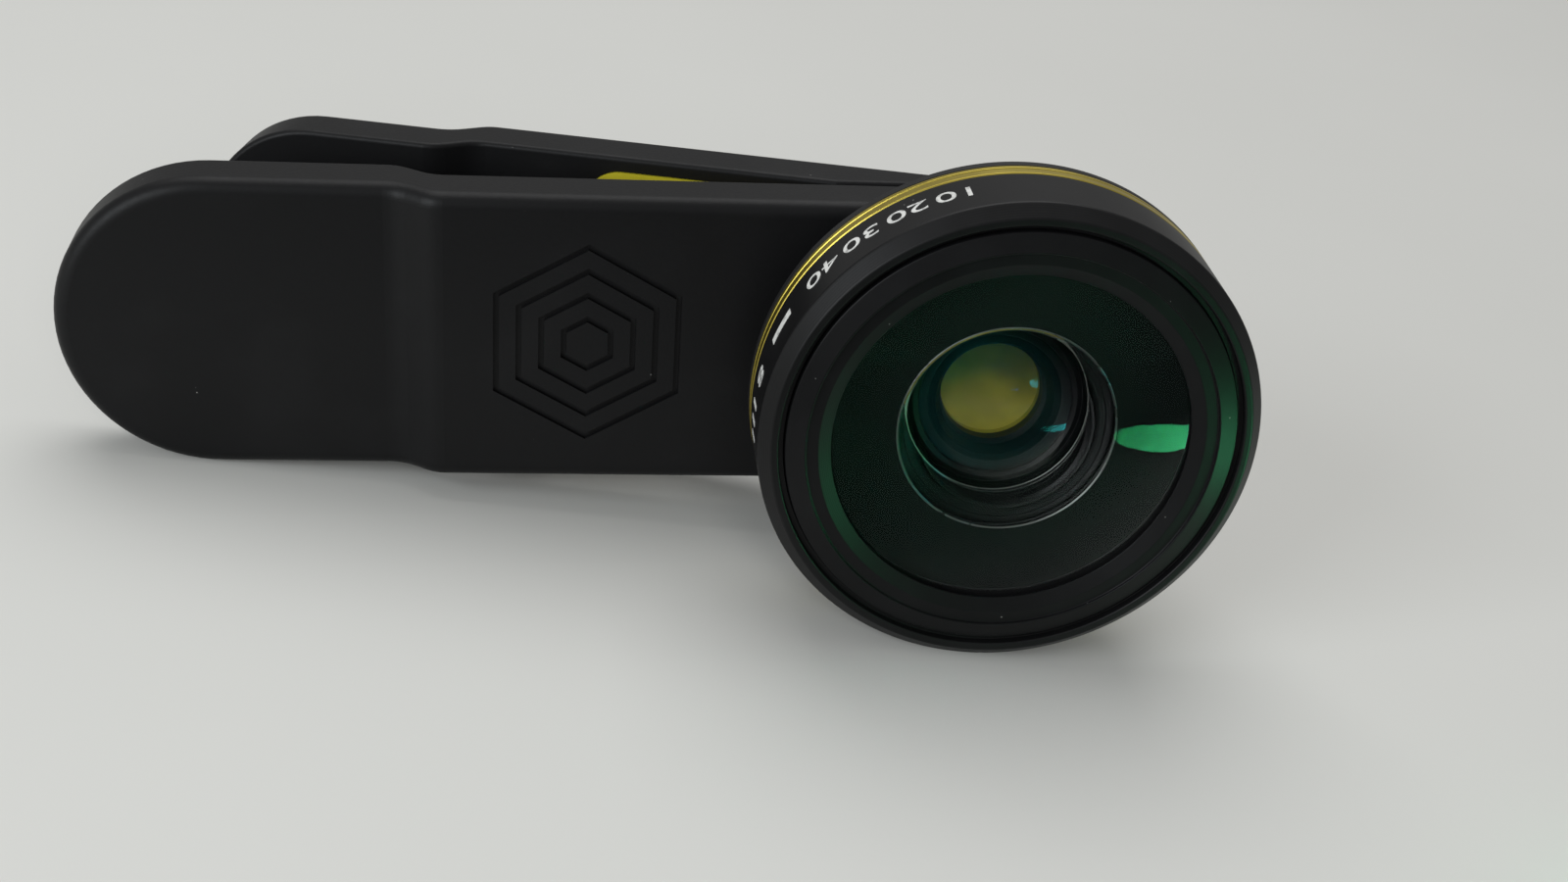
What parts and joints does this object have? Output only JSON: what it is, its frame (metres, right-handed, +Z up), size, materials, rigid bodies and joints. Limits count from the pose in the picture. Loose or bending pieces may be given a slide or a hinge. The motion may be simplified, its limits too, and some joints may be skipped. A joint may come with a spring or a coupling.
{
  "type": "clip-on phone lens",
  "caption": "Peg-style sprung clip that carries a large wide-angle lens in a turned barrel, pinched over a phone so that the lens sits in front of its camera.",
  "frame": {"origin": "middle of the underside of the whole part's box, as it stands on the lens barrel and the handle ends", "axes": "+X from the handle ends towards the lens, -Y out through the front of the lens, +Z up"},
  "size_m": [0.0782, 0.0324, 0.0326],
  "materials": {
    "soft_touch_black": "matt soft-touch",
    "pad_yellow": "smooth silicone rubber",
    "insert_alloy": "turned",
    "pin_steel": "ground",
    "spring_steel": "drawn wire",
    "seal_rubber": "matt",
    "housing_black": "moulded, satin",
    "barrel_black": "black coated brass, satin",
    "accent_yellow": "yellow anodised",
    "ring_black": "black coated brass",
    "front_glass": "polished, coated",
    "inner_glass": "polished, coated",
    "inner_black": "matt"
  },
  "bodies": {
    "clip_front": {"front_arm": "soft_touch_black", "front_pad": "pad_yellow", "mount_insert": "insert_alloy", "hinge_pin": "pin_steel", "torsion_spring": "spring_steel"},
    "clip_rear": {"rear_arm": "soft_touch_black", "rear_pad": "pad_yellow"},
    "seat": {"seat_ring": "seal_rubber"},
    "lens": {"rear_housing": "housing_black", "accent_ring": "accent_yellow", "front_barrel": "barrel_black", "front_retaining_ring": "ring_black", "front_gasket": "seal_rubber", "front_element": "front_glass", "baffle_cone": "inner_black", "middle_lock_ring": "ring_black", "middle_element": "inner_glass", "inner_spacer": "inner_black", "doublet_crown": "inner_glass", "doublet_flint": "inner_glass"}
  },
  "joints": [
    {"name": "jaw_hinge", "type": "hinge", "parent": "clip_front", "child": "clip_rear", "pos_m": [-0.00797, 0.00603, 0.01283], "axis": [-0.112, 0, 0.9937], "range_deg": [0, 18], "stiffness_Nm_per_rad": 0.03, "springref_deg": -28.65, "deforming": ["torsion_spring"]},
    {"name": "lens_advance", "type": "slide", "parent": "clip_front", "child": "seat", "axis": [0, -1, 0], "range_m": [0, 0.00225]},
    {"name": "lens_turn", "type": "hinge", "parent": "seat", "child": "lens", "pos_m": [0.02284, -0.00865, 0.0163], "axis": [0, -1, 0], "range_deg": [0, 1080]}
  ],
  "couplings": [
    {"joint": "lens_advance", "follows": "lens_turn", "m_per_rad": 0.00011937}
  ]
}
